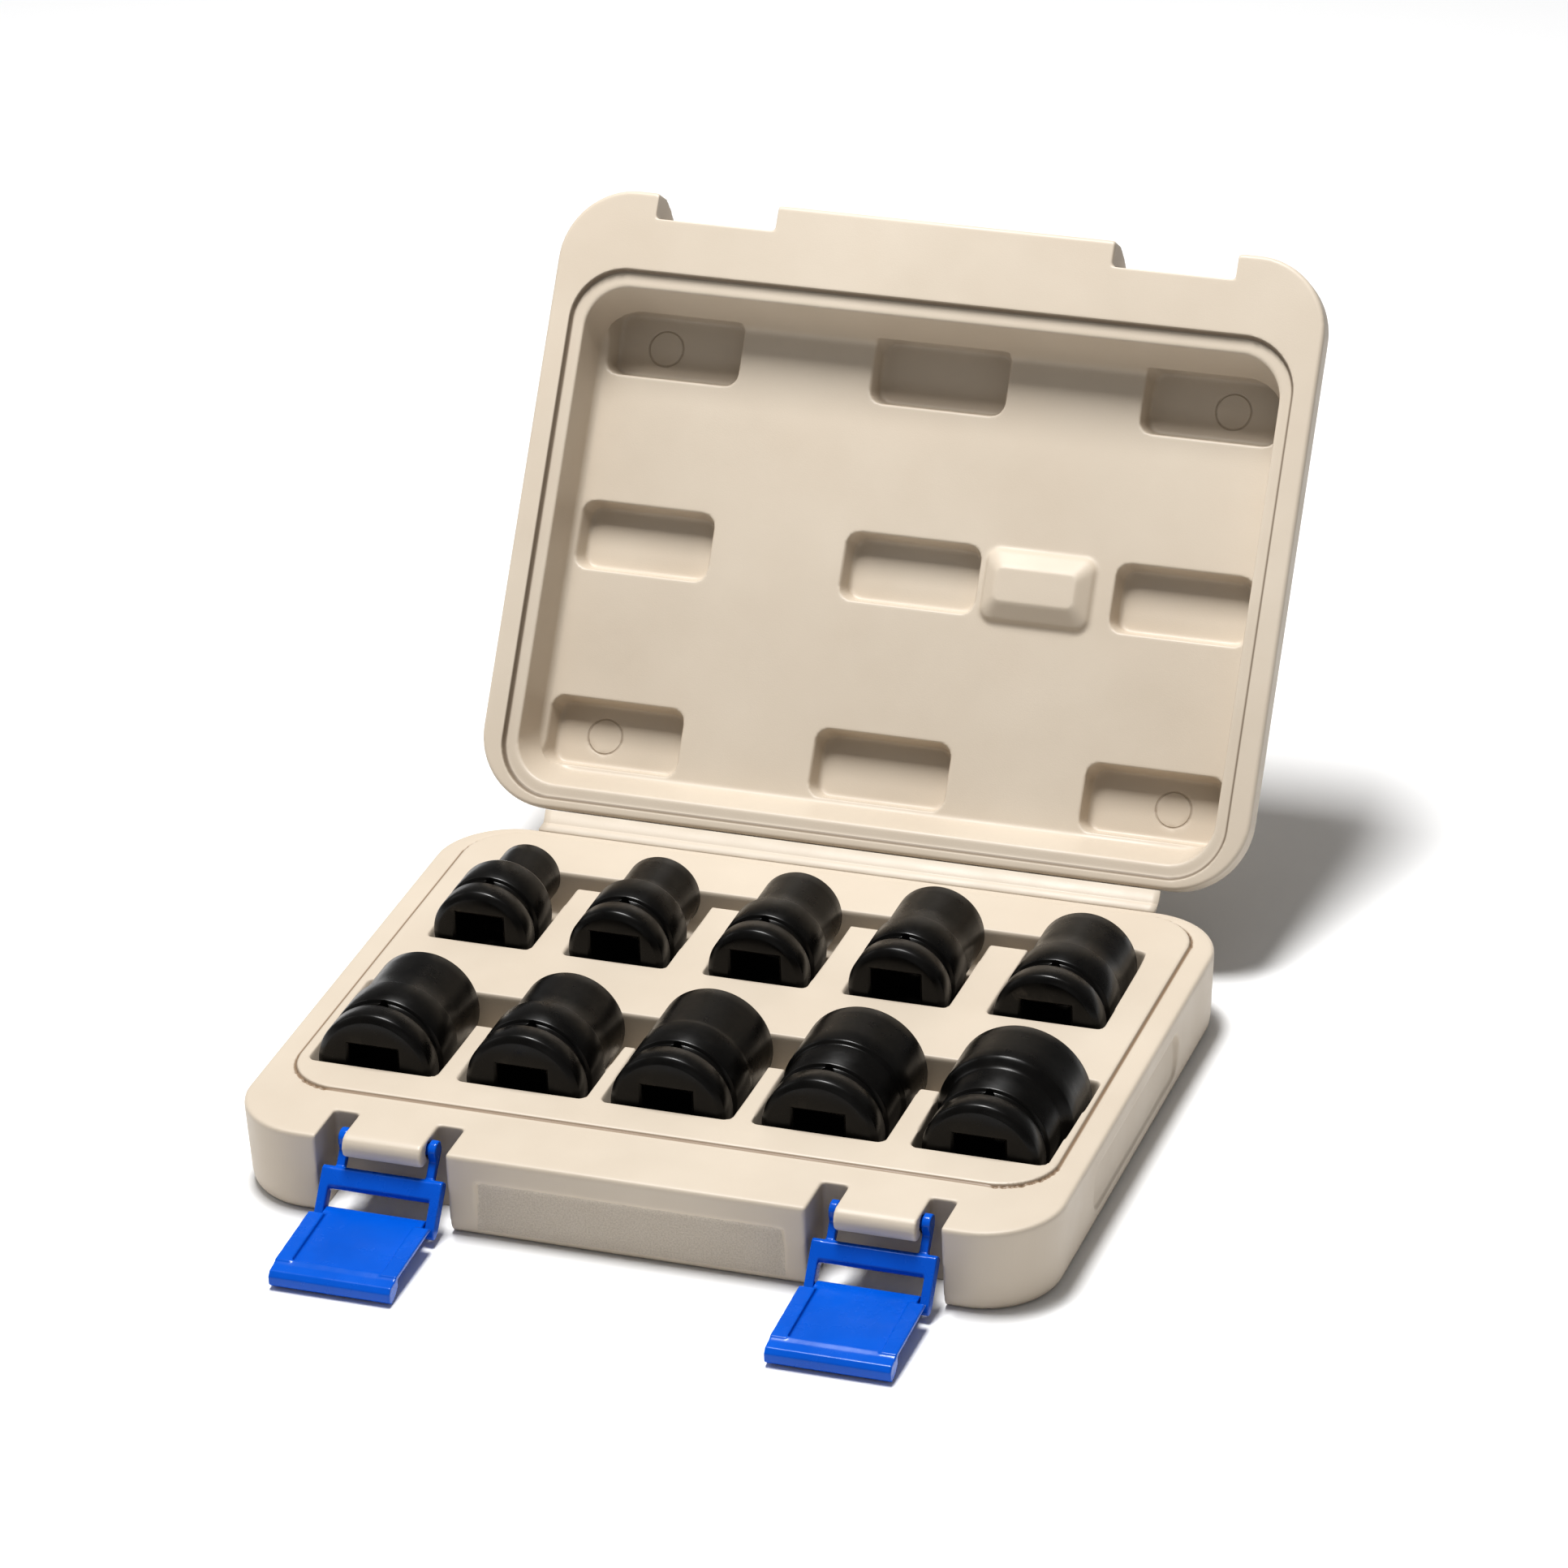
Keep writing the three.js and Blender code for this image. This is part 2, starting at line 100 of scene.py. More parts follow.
BAR = {"w": 20.6, "h": 6.2, "nose": 0.4}
LINK_W = BAR["w"] + 10.8
BAY = {"x": 62.9, "w": LINK_W + 2.6, "depth": 13.4}
PIVOT = {"y": FRONT + 6.8, "z": BASE_H - 3.3, "r": 1.9}
NOTCH = {"w": LINK_W + 1.8, "depth": 6.9, "recess": 9.1, "lip": 6.8}
LID_PANEL = 16.5
PAD = {"w": 37.7, "h": 18.7, "depth": 6.3, "r": 3.6, "dx": 74.1, "y": 7.6, "dy": 52.7}
MARK = {"r": 4.75, "out": 4.5}   # round mould marks, outward of the middles of the corner pads
BOSS = {"x": 35.3, "y": 8.2, "w": 31.0, "d": 20.4, "top_w": 21.4, "top_d": 9.0, "h": 4.0}
STRIP = {"w": 168.0, "t": 1.3}


# ---- solid helpers ------------------------------------------------------------------------------
def ring(x0, x1, y0, y1, r, z, n=14):
    """Points of a rounded rectangle at height z."""
    points = []
    corners = [(x1 - r, y1 - r), (x0 + r, y1 - r), (x0 + r, y0 + r), (x1 - r, y0 + r)]
    for q, (cx, cy) in enumerate(corners):
        for i in range(n + 1):
            a = (q + i / n) * math.pi / 2
            points.append((cx + r * math.cos(a), cy + r * math.sin(a), z))
    return points


def new_object(name, bm):
    mesh = bpy.data.meshes.new(name)
    bm.to_mesh(mesh)
    bm.free()
    obj = bpy.data.objects.new(name, mesh)
    bpy.context.scene.collection.objects.link(obj)
    return obj


def hull(points, name="tool"):
    """Closed convex solid around points given in millimetres."""
    bm = bmesh.new()
    for p in points:
        bm.verts.new(Vector(p) * MM)
    result = bmesh.ops.convex_hull(bm, input=bm.verts)
    spare = {g for g in result["geom_interior"] + result["geom_unused"]
             if isinstance(g, bmesh.types.BMVert)}
    bmesh.ops.delete(bm, geom=list(spare), context="VERTS")
    bmesh.ops.recalc_face_normals(bm, faces=bm.faces)
    return new_object(name, bm)


def box(x0, x1, y0, y1, z0, z1):
    return hull([(x, y, z) for x in (x0, x1) for y in (y0, y1) for z in (z0, z1)])


def prism_x(profile, x0, x1):
    """A profile of (y, z) points drawn out from x0 to x1."""
    bm = bmesh.new()
    near = [bm.verts.new(Vector((x0, y, z)) * MM) for y, z in profile]
    far = [bm.verts.new(Vector((x1, y, z)) * MM) for y, z in profile]
    bm.faces.new(near)
    bm.faces.new(reversed(far))
    for i in range(len(profile)):
        j = (i + 1) % len(profile)
        bm.faces.new((near[i], far[i], far[j], near[j]))
    bmesh.ops.recalc_face_normals(bm, faces=bm.faces)
    return new_object("tool", bm)


def lathe(profile, segments, name="tool"):
    """A closed solid turned about the Y axis from (radius, y) points that start and end on it."""
    bm = bmesh.new()
    rings = []
    for r, y in profile:
        if r < 1e-6:
            rings.append([bm.verts.new(Vector((0, y, 0)) * MM)])
            continue
        turn = [2 * math.pi * i / segments for i in range(segments)]
        rings.append([bm.verts.new(Vector((r * math.cos(a), y, r * math.sin(a))) * MM) for a in turn])
    for one, two in zip(rings, rings[1:]):
        for i in range(segments):
            j = (i + 1) % segments
            if len(one) == 1:
                bm.faces.new((one[0], two[i], two[j]))
            elif len(two) == 1:
                bm.faces.new((one[i], one[j], two[0]))
            else:
                bm.faces.new((one[i], one[j], two[j], two[i]))
    bmesh.ops.recalc_face_normals(bm, faces=bm.faces)
    return new_object(name, bm)


def rod(axis, r, start, end, a, b, n=32):
    """Cylinder along axis 0, 1 or 2 from start to end; a and b are its other two coordinates."""
    u, v = [k for k in range(3) if k != axis]
    points = []
    for t in (start, end):
        for i in range(n):
            p = [0.0, 0.0, 0.0]
            p[axis] = t
            p[u] = a + r * math.cos(2 * math.pi * i / n)
            p[v] = b + r * math.sin(2 * math.pi * i / n)
            points.append(p)
    return hull(points)


def bake(obj):
    """Applies an object's modifiers to its mesh."""
    evaluated = obj.evaluated_get(bpy.context.evaluated_depsgraph_get())
    mesh = bpy.data.meshes.new_from_object(evaluated)
    obj.modifiers.clear()
    old, obj.data = obj.data, mesh
    bpy.data.meshes.remove(old)
    return obj


def boolean(obj, tools, operation):
    for tool in tools:
        m = obj.modifiers.new("cut", "BOOLEAN")
        m.operation = operation
        m.solver = "MANIFOLD"
        m.object = tool
        bake(obj)
        bpy.data.objects.remove(tool)
    return obj


def cut(obj, *tools):
    return boolean(obj, tools, "DIFFERENCE")


def join(obj, *tools):
    return boolean(obj, tools, "UNION")


def soften(obj, voxel, rounds):
    """Rounds every edge a little, as moulding does: an even fine mesh, smoothed."""
    m = obj.modifiers.new("even", "REMESH")
    m.mode = "VOXEL"
    m.voxel_size = voxel * MM
    m.use_smooth_shade = True
    bake(obj)
    m = obj.modifiers.new("round", "SMOOTH")
    m.factor = 0.5
    m.iterations = rounds
    return bake(obj)


def thin(obj, ratio):
    """Fewer faces where the surface is flat."""
    m = obj.modifiers.new("thin", "DECIMATE")
    m.ratio = ratio
    bake(obj)
    obj.data.polygons.foreach_set("use_smooth", [True] * len(obj.data.polygons))
    return obj


# ---- materials ----------------------------------------------------------------------------------
class Nodes:
    """Short way to write a material's node tree."""

    def __init__(self, name):
        self.material = bpy.data.materials.new(name)
        self.material.use_nodes = True
        self.tree = self.material.node_tree
        self.shader = self.tree.nodes["Principled BSDF"]
        self.place = self.tree.nodes.new("ShaderNodeTexCoord").outputs["Object"]

    def add(self, kind, **inputs):
        node = self.tree.nodes.new(kind)
        for key, value in inputs.items():
            key = key.replace("_", " ")
            if isinstance(value, bpy.types.NodeSocket):
                self.tree.links.new(value, node.inputs[key])
            elif key in node.inputs:
                node.inputs[key].default_value = value
        return node

    def noise(self, scale, detail=3.0, stretch=None):
        place = self.place
        if stretch:
            place = self.add("ShaderNodeMapping", Vector=place, Scale=stretch).outputs[0]
        node = self.add("ShaderNodeTexNoise", Vector=place, Scale=scale, Detail=detail, Roughness=0.55)
        return node.outputs["Fac"]

    def ramp(self, value, stops):
        node = self.add("ShaderNodeValToRGB", Fac=value)
        ends = node.color_ramp.elements
        for i, (at, color) in enumerate(stops):
            element = ends[i] if i < 2 else ends.new(at)
            element.position = at
            element.color = (*color, 1)
        return node.outputs["Color"]

    def level(self, value, low, high, start=0.0, end=1.0):
        node = self.add("ShaderNodeMapRange", Value=value)
        for key, number in (("From Min", start), ("From Max", end), ("To Min", low), ("To Max", high)):
            node.inputs[key].default_value = number
        return node.outputs[0]

    def mix(self, amount, one, two):
        node = self.tree.nodes.new("ShaderNodeMix")
        node.data_type = "RGBA"
        for key, value in ((0, amount), (6, one), (7, two)):
            if isinstance(value, bpy.types.NodeSocket):
                self.tree.links.new(value, node.inputs[key])
            elif isinstance(value, tuple):
                node.inputs[key].default_value = (*value, 1)
            else:
                node.inputs[key].default_value = value
        return node.outputs[2]

    def math(self, operation, *values):
        node = self.tree.nodes.new("ShaderNodeMath")
        node.operation = operation
        for i, value in enumerate(values):
            if isinstance(value, bpy.types.NodeSocket):
                self.tree.links.new(value, node.inputs[i])
            else:
                node.inputs[i].default_value = value
        return node.outputs[0]

    def vector(self, operation, one, two=(0, 0, 0)):
        node = self.add("ShaderNodeVectorMath", Vector=one)
        node.operation = operation
        node.inputs[1].default_value = two
        return node.outputs[0]

    def part(self, place, axis):
        """One coordinate, 0 to 2, of a place."""
        return self.add("ShaderNodeSeparateXYZ", Vector=place).outputs[axis]

    def length(self, x, y):
        """Length of the vector (x, y)."""
        return self.math("SQRT", self.math("ADD", self.math("MULTIPLY", x, x), self.math("MULTIPLY", y, y)))

    def frame_line(self, place, middle, half, r, z_low):
        """Distance in metres from a rounded rectangle's outline; a metre is added below z_low."""
        away = self.vector("ABSOLUTE", self.vector("SUBTRACT", place, (*middle, 0)))
        past = self.vector("SUBTRACT", away, (half[0] - r, half[1] - r, 0))
        x, y = self.part(past, 0), self.part(past, 1)
        corner = self.length(self.math("MAXIMUM", x, 0.0), self.math("MAXIMUM", y, 0.0))
        inner = self.math("MINIMUM", self.math("MAXIMUM", x, y), 0.0)
        distance = self.math("ABSOLUTE", self.math("SUBTRACT", self.math("ADD", corner, inner), r))
        below = self.math("LESS_THAN", self.part(place, 2), z_low)
        return self.math("ADD", distance, below)

    def ring_line(self, place, middle, spread, r):
        """Distance in metres from four circles, one round each corner of a rectangle about middle."""
        x, y = (self.math("SUBTRACT", self.math("ABSOLUTE", self.math("SUBTRACT", self.part(place, k),
                                                                      middle[k])), spread[k])
                for k in range(2))
        return self.math("ABSOLUTE", self.math("SUBTRACT", self.length(x, y), r))

    def closed_place(self):
        """Position as it would be with the lid shut, for marks that lie square to the lid."""
        turn = Matrix.Rotation(math.radians(OPEN_DEG), 4, "X")
        at = HINGE * MM
        shift = at - turn @ at
        return self.add("ShaderNodeMapping", Vector=self.place, Location=shift,
                        Rotation=(math.radians(OPEN_DEG), 0, 0)).outputs[0]

    def pointiness(self):
        return self.add("ShaderNodeNewGeometry").outputs["Pointiness"]

    def bump(self, height, strength, distance, under=None):
        node = self.add("ShaderNodeBump", Height=height, Strength=strength, Distance=distance)
        if under:
            self.tree.links.new(under, node.inputs["Normal"])
        return node.outputs[0]

    def wire(self, **sockets):
        for key, value in sockets.items():
            key = key.replace("_", " ")
            if isinstance(value, bpy.types.NodeSocket):
                self.tree.links.new(value, self.shader.inputs[key])
            else:
                self.shader.inputs[key].default_value = value
        return self.material


def case_plastic(name, line=None):
    """Satin greige polyethylene: flow streaks, moulded grain, scuffed edges, painted shade darkening the
    creases.

    line gives the drawn lines, painted shade along grooves and marks: for each its distance, half width,
    strength and colour.
    """
    n = Nodes(name)
    cloud = n.noise(18, 4)
    streak = n.noise(30, 3, stretch=(1, 0.12, 1))
    base = n.ramp(cloud, [(0.3, (0.515, 0.445, 0.360)), (0.7, (0.560, 0.490, 0.402))])
    base = n.mix(n.level(streak, 0.0, 0.28, 0.45, 0.75), base, (0.520, 0.435, 0.345))
    edge = n.level(n.pointiness(), 0, 1, 0.52, 0.60)
    wear = n.math("MULTIPLY", edge, n.level(n.noise(140, 4), 0, 0.5, 0.4, 0.7))
    base = n.mix(wear, base, (0.66, 0.60, 0.51))
    # painted shade: concave creases are darkened towards dark brown, as if shade fell in them
    crease_shade = n.level(n.pointiness(), 1, 0, 0.40, 0.485)
    base = n.mix(n.math("MULTIPLY", crease_shade, 0.55), base, (0.23, 0.16, 0.10))
    rough = n.level(n.noise(60, 5), 0.42, 0.56, 0.3, 0.7)
    grain = n.bump(n.noise(2600, 2), 0.16, 0.00012)
    normal = n.bump(n.noise(38, 2), 0.10, 0.0011, grain)
    # painted shade: each drawn line darkens the surface towards its colour along it
    for distance, width, depth, tint in (line(n) if line else ()):
        mask = n.level(distance, 1, 0, width * 0.35, width)
        base = n.mix(n.math("MULTIPLY", mask, depth), base, tint)
        normal = n.bump(mask, 0.6, -0.0003, normal)
    return n.wire(Base_Color=base, Roughness=rough, Normal=normal, IOR=1.5)


def tray_shade_line(n):
    """The moulding line round the foot of the raised tray, drawn as painted shade: a dark brown band where
    shade falls in its groove.
    """
    half = ((TRAY["w"] / 2 + 0.3) * MM, ((TRAY["rear"] - TRAY["front"]) / 2 + 0.3) * MM)
    middle = (0, (TRAY["rear"] + TRAY["front"]) / 2 * MM)
    z_low = (BASE_H - 1.5) * MM
    return [(n.frame_line(n.place, middle, half, (TRAY["r"] + 0.3) * MM, z_low), 0.55 * MM, 0.85,
             (0.19, 0.115, 0.06))]


def lid_shade_lines(n):
    """The dark foot of the step inside the lid's rim, a painted shadow of the step, and round mould marks in
    the corner pads, their thin circles drawn in painted shade.
    """
    place = n.closed_place()
    y0, y1 = TRAY["front"] - 1, TRAY["rear"] + 0.9
    half = ((TRAY["w"] / 2 + 0.6) * MM, ((y1 - y0) / 2 - 0.2) * MM)
    step = n.frame_line(place, (0, (y0 + y1) / 2 * MM), half, (TRAY["r"] + 0.6) * MM,
                        (LID_RIM - 1) * MM)
    z = n.part(place, 2)
    step = n.math("ADD", step, n.math("GREATER_THAN", z, (LID_RIM + 4) * MM))
    rings = n.ring_line(place, (0, PAD["y"] * MM), ((PAD["dx"] + MARK["out"]) * MM, PAD["dy"] * MM),
                        MARK["r"] * MM)
    floor = (LID_RIM + LID_PANEL + PAD["depth"]) * MM
    off_floor = n.math("GREATER_THAN", n.math("ABSOLUTE", n.math("SUBTRACT", z, floor)), 0.9 * MM)
    # painted shadow along the step's foot, and painted shade in the thin mould rings
    return [(step, 0.6 * MM, 0.8, (0.12, 0.085, 0.055)),
            (n.math("ADD", rings, off_floor), 0.34 * MM, 0.42, (0.22, 0.16, 0.11))]


def stipple_plastic():
    """The label field's fine spark-eroded stipple."""
    n = Nodes("label_plastic")
    speck = n.noise(2300, 2)
    base = n.ramp(speck, [(0.35, (0.43, 0.375, 0.31)), (0.65, (0.53, 0.47, 0.395))])
    rough = n.level(n.noise(300, 3), 0.5, 0.7, 0.3, 0.7)
    return n.wire(Base_Color=base, Roughness=rough, Normal=n.bump(speck, 0.55, 0.00028), IOR=1.5)


def latch_plastic():
    """Glossy blue moulding with faint flow marks and rubbed edges."""
    n = Nodes("latch_plastic")
    cloud = n.noise(45, 4)
    base = n.ramp(cloud, [(0.3, (0.0, 0.083, 0.46)), (0.7, (0.0, 0.105, 0.56))])
    edge = n.level(n.pointiness(), 0, 1, 0.53, 0.66)
    wear = n.math("MULTIPLY", edge, n.level(n.noise(500, 3), 0, 0.4, 0.4, 0.7))
    base = n.mix(wear, base, (0.012, 0.19, 0.74))
    rough = n.level(n.noise(120, 5), 0.18, 0.32, 0.3, 0.7)
    fine = n.bump(n.noise(900, 2), 0.06, 0.0001)
    waves = n.bump(n.noise(90, 2), 0.12, 0.0008, fine)
    return n.wire(Base_Color=base, Roughness=rough, Normal=waves, IOR=1.5, Specular_IOR_Level=0.28,
                  Coat_Weight=0.12, Coat_Roughness=0.1)


def socket_steel():
    """Black phosphated steel, lightly oiled: turned lines, mottling and bright rubbed edges."""
    n = Nodes("socket_steel")
    mottle = n.noise(260, 5)
    turned = n.noise(420, 3, stretch=(0.03, 4.0, 0.03))
    base = n.ramp(mottle, [(0.3, (0.0022, 0.0019, 0.0016)), (0.7, (0.0055, 0.0047, 0.0038))])
    base = n.mix(n.level(turned, 0, 0.3, 0.5, 0.7), base, (0.008, 0.0062, 0.0046))
    edge = n.level(n.pointiness(), 0, 1, 0.56, 0.72)
    wear = n.math("MULTIPLY", edge, n.level(n.noise(700, 4), 0.05, 0.6, 0.4, 0.65))
    base = n.mix(wear, base, (0.05, 0.043, 0.036))
    rough = n.level(n.noise(180, 5), 0.24, 0.38, 0.3, 0.7)
    lines = n.bump(turned, 0.10, 0.00012)
    pits = n.bump(mottle, 0.10, 0.00010, lines)
    return n.wire(Base_Color=base, Roughness=rough, Normal=pits, Metallic=0.25, IOR=1.55,
                  Specular_IOR_Level=0.32)


def band_steel():
    """The rolled band round a socket where its size is marked: paler, blank and slightly rough."""
    n = Nodes("socket_band")
    speck = n.noise(1100, 3, stretch=(1.0, 2.4, 1.0))
    base = n.ramp(speck, [(0.46, (0.011, 0.0092, 0.0074)), (0.60, (0.046, 0.037, 0.028))])
    return n.wire(Base_Color=base, Roughness=n.level(speck, 0.38, 0.55), Metallic=0.25, IOR=1.55,
                  Normal=n.bump(speck, 0.2, 0.0001))


def paint(obj, *materials):
    obj.data.materials.clear()
    for m in materials:
        obj.data.materials.append(m)
    return obj


# ---- base ---------------------------------------------------------------------------------------
def tub(levels):
    points = []
    for z, s in levels:
        points += ring(LEFT + s, RIGHT - s, FRONT + s, BACK - s, max(CORNER_R - s, 2.0), z, 20)
    return hull(points)


def place_of(size):
    """Middle of a socket in X and Z, and the y of its drive face."""
    low, high = box_mm(f"socket_{size}")
    return (low.x + high.x) / 2, low.y, (low.z + high.z) / 2


def pocket(row, size):
    """Drafted pocket under one socket."""
    x, y, z = place_of(size)
    nose, drive = SOCKETS[size]
    y0, y1 = y - 1.0, y + SOCKET_L + row["fingers"][1] - 0.6
    wf = max(drive + 2.6, row["pocket"]) / 2
    wr = max(nose + 2.2, row["pocket"] + 1) / 2
    r = max(nose, drive) / 2

    def level(z, f, b):
        return (ring(x - f, x + f, y0, y0 + 8, POCKET_R, z, 4)
                + ring(x - b, x + b, y1 - 8, y1, POCKET_R, z, 4))
    low, foot = 0.88 * r + 1.1, 0.6 * r
    return hull(level(TRAY_TOP + 1, wf, wr) + level(z - 0.55 * r, low, low)
                + level(max(z - r - GAP, 1.2), foot, foot))


def channel(row):
    """Finger channel across the noses of one row."""
    xs = [place_of(s)[0] for s in row["sizes"]]
    y = place_of(row["sizes"][0])[1]
    c0, c1 = y + SOCKET_L - row["fingers"][0], y + SOCKET_L + row["fingers"][1]
    half = row["pocket"] / 2 - 1
    x0, x1 = min(xs) - half, max(xs) + half
    return hull(ring(x0, x1, c0, c1, 2, TRAY_TOP + 1, 5)
                + ring(x0 + 1, x1 - 1, c0 + 0.5, c1 - 0.5, 2, TRAY_TOP - CHANNEL_DEPTH, 5))


def latch_bar(cx):
    """The rounded bar that a latch hangs on, with its two pivot holes."""
    rear, nose, low = FRONT + BAY["depth"], FRONT + BAR["nose"], BASE_H - BAR["h"]
    half = BAR["w"] / 2
    bar = prism_x([(rear + 1, low), (nose + 2.2, low), (nose + 0.8, low + 0.9), (nose + 0.2, low + 2),
                   (nose, low + 3.2), (nose + 0.3, BASE_H - 1.7), (nose + 1.0, BASE_H - 0.7),
                   (nose + 2.0, BASE_H - 0.15), (nose + 3, BASE_H), (rear + 1, BASE_H)],
                  cx - half, cx + half)
    reach = 1.9
    return cut(bar, rod(0, PIVOT["r"], cx - half - 1, cx - half + reach, PIVOT["y"], PIVOT["z"]),
               rod(0, PIVOT["r"], cx + half - reach, cx + half + 1, PIVOT["y"], PIVOT["z"]))


def groove(x0, x1, y0, y1, r, z, width, depth):
    """A thin ring that cuts a shallow parting line round a rounded rectangle."""
    w = width / 2
    outer = hull(ring(x0 - w, x1 + w, y0 - w, y1 + w, r + w, z + 1) + ring(
        x0 - w, x1 + w, y0 - w, y1 + w, r + w, z - depth))
    inner = hull(ring(x0 + w, x1 - w, y0 + w, y1 - w, r - w, z + 2) + ring(
        x0 + w, x1 - w, y0 + w, y1 - w, r - w, z - depth - 1))
    return cut(outer, inner)


LABEL = {"x0": -38.6, "x1": 40.2, "z0": 2.2, "z1": 15.8}


def make_base():
    levels = [(0, 3.4), (0.35, 2.6), (0.9, 2.0), (2, 1.3), (4.5, 0.9), (BASE_H - 0.8, 0),
              (BASE_H - 0.25, 0.25), (BASE_H, 0.8)]
    solid = tub(levels)
    w = TRAY["w"] / 2
    top = hull(ring(-w, w, TRAY["front"], TRAY["rear"], TRAY["r"], BASE_H - 2)
               + ring(-w, w, TRAY["front"], TRAY["rear"], TRAY["r"], TRAY_TOP - 0.3)
               + ring(-w + 0.3, w - 0.3, TRAY["front"] + 0.3, TRAY["rear"] - 0.3,
                      TRAY["r"] - 0.3, TRAY_TOP))
    solid = join(solid, top)
    w += 0.45
    cut(solid, groove(-w, w, TRAY["front"] - 0.45, TRAY["rear"] + 0.45, TRAY["r"] + 0.45, BASE_H,
                      0.9, 0.9))
    for side in (-1, 1):
        def at(p):
            return side * (RIGHT - 1.7 + p[2] * 1.6), p[1], 11 + p[0] * 1.25
        cut(solid, hull([at(p) for p in ring(-5, 5, -38, 34, 4, 0, 6) + ring(-5, 5, -39.5, 35.5, 4, 1.4, 6)]))

    def on_front(p):
        return p[0], FRONT + 1.25 - p[2] * 2, p[1]
    x0, x1, z0, z1 = (LABEL[k] for k in ("x0", "x1", "z0", "z1"))
    cut(solid, hull([on_front(p) for p in ring(x0, x1, z0, z1, 1.2, 0, 4)
                     + ring(x0 - 0.4, x1 + 0.4, z0 - 0.4, z1 + 0.4, 1.2, 1, 4)]))
    for row in ROWS:
        cut(solid, channel(row), *[pocket(row, s) for s in row["sizes"]])
    for cx in (-BAY["x"], BAY["x"]):
        bay = box(cx - BAY["w"] / 2, cx + BAY["w"] / 2, FRONT - 5, FRONT + BAY["depth"], -1, TRAY_TOP + 1)
        cut(solid, cut(bay, latch_bar(cx)))
    cut(solid, rod(2, 2.6, -1, 4, 0, 6))
    solid.name = "base_moulding"
    soften(solid, 0.5, 4)
    return thin(solid, 0.35)


# ---- lid, made closed over the base and then opened ---------------------------------------------
LID_LEVELS = [(LID_RIM, 0.6), (LID_RIM + 0.2, 0.2), (LID_RIM + 0.6, 0), (LID_RIM + 7, 0.3),
              (LID_RIM + 12, 2.4), (LID_TOP - 9.3, 6), (LID_TOP - 5, 9), (LID_TOP - 2.5, 11.2),
              (LID_TOP - 1, 13.2), (LID_TOP, 16)]


def lid_inside():
    """Tools for the step at the rim, the well and the nine pads, with mould marks in four of them."""
    w, panel = TRAY["w"] / 2 + 0.8, LID_RIM + LID_PANEL

    def rim(z):
        return ring(-w, w, TRAY["front"] - 1, TRAY["rear"] + 0.9, TRAY["r"] + 0.8, z)

    def well(side, near, far, r, z):
        return ring(LEFT + side, RIGHT - side, FRONT + near, BACK - far, r, z)
    tools = [hull(rim(LID_RIM - 1) + rim(LID_RIM + 1.7)),
             hull(well(9.4, 24.6, 5.8, 12, LID_RIM - 1) + well(10.6, 30.4, 11.4, 11, panel - 1.5)
                  + well(11.2, 31.2, 12.0, 10.4, panel - 0.4) + well(11.8, 32, 12.6, 10, panel))]
    for i in (-1, 0, 1):
        for j in (-1, 0, 1):
            x, y = i * PAD["dx"], PAD["y"] + j * PAD["dy"]

            def level(inset, z):
                a, b = PAD["w"] / 2 - inset, PAD["h"] / 2 - inset
                return ring(x - a, x + a, y - b, y + b, PAD["r"], z, 8)
            tools.append(hull(level(0, panel - 2) + level(0.3, panel + 0.6)
                              + level(1.1, panel + PAD["depth"])))
            if i and j:
                z = panel + PAD["depth"]
                cx, mark = x + i * MARK["out"], MARK["r"]
                tools.append(cut(rod(2, mark + 0.35, z - 0.5, z + 0.45, cx, y),
                                 rod(2, mark - 0.35, z - 1.5, z + 1.5, cx, y)))
    return tools


def open_lid(obj):
    """Turns a piece made on the closed lid about the hinge, to where the lid stands open."""
    at = HINGE * MM
    turn = Matrix.Rotation(math.radians(-OPEN_DEG), 4, "X")
    obj.data.transform(Matrix.Translation(at) @ turn @ Matrix.Translation(-at))
    return obj


def make_lid():
    solid = tub(LID_LEVELS)
    cut(solid, *lid_inside())
    for cx in (-BAY["x"], BAY["x"]):
        x0, x1 = cx - NOTCH["w"] / 2, cx + NOTCH["w"] / 2
        lip_top = PIVOT["z"] + NOTCH["lip"]
        cut(solid, box(x0, x1, FRONT - 5, FRONT + NOTCH["depth"], LID_RIM - 1, LID_TOP + 1),
            box(x0, x1, FRONT - 5, FRONT + NOTCH["recess"], lip_top, LID_TOP + 1))
    b, panel = BOSS, LID_RIM + LID_PANEL

    def block(w, d, r, z):
        return ring(b["x"] - w / 2, b["x"] + w / 2, b["y"] - d / 2, b["y"] + d / 2, r, z, 8)
    join(solid, hull(block(b["w"], b["d"], 3.5, panel + 0.6)
                     + block(b["w"] - 2.2, b["d"] - 2.2, 3.2, panel - 1.2)
                     + block(b["top_w"] + 1.2, b["top_d"] + 1.2, 2.2, panel - b["h"] + 0.35)
                     + block(b["top_w"], b["top_d"], 1.5, panel - b["h"])))
    cut(solid, rod(2, 2.6, LID_TOP - 4, LID_TOP + 2, 0, PAD["y"] + PAD["dy"] / 2))
    solid.name = "lid_moulding"
    soften(solid, 0.5, 4)
    return open_lid(thin(solid, 0.35))


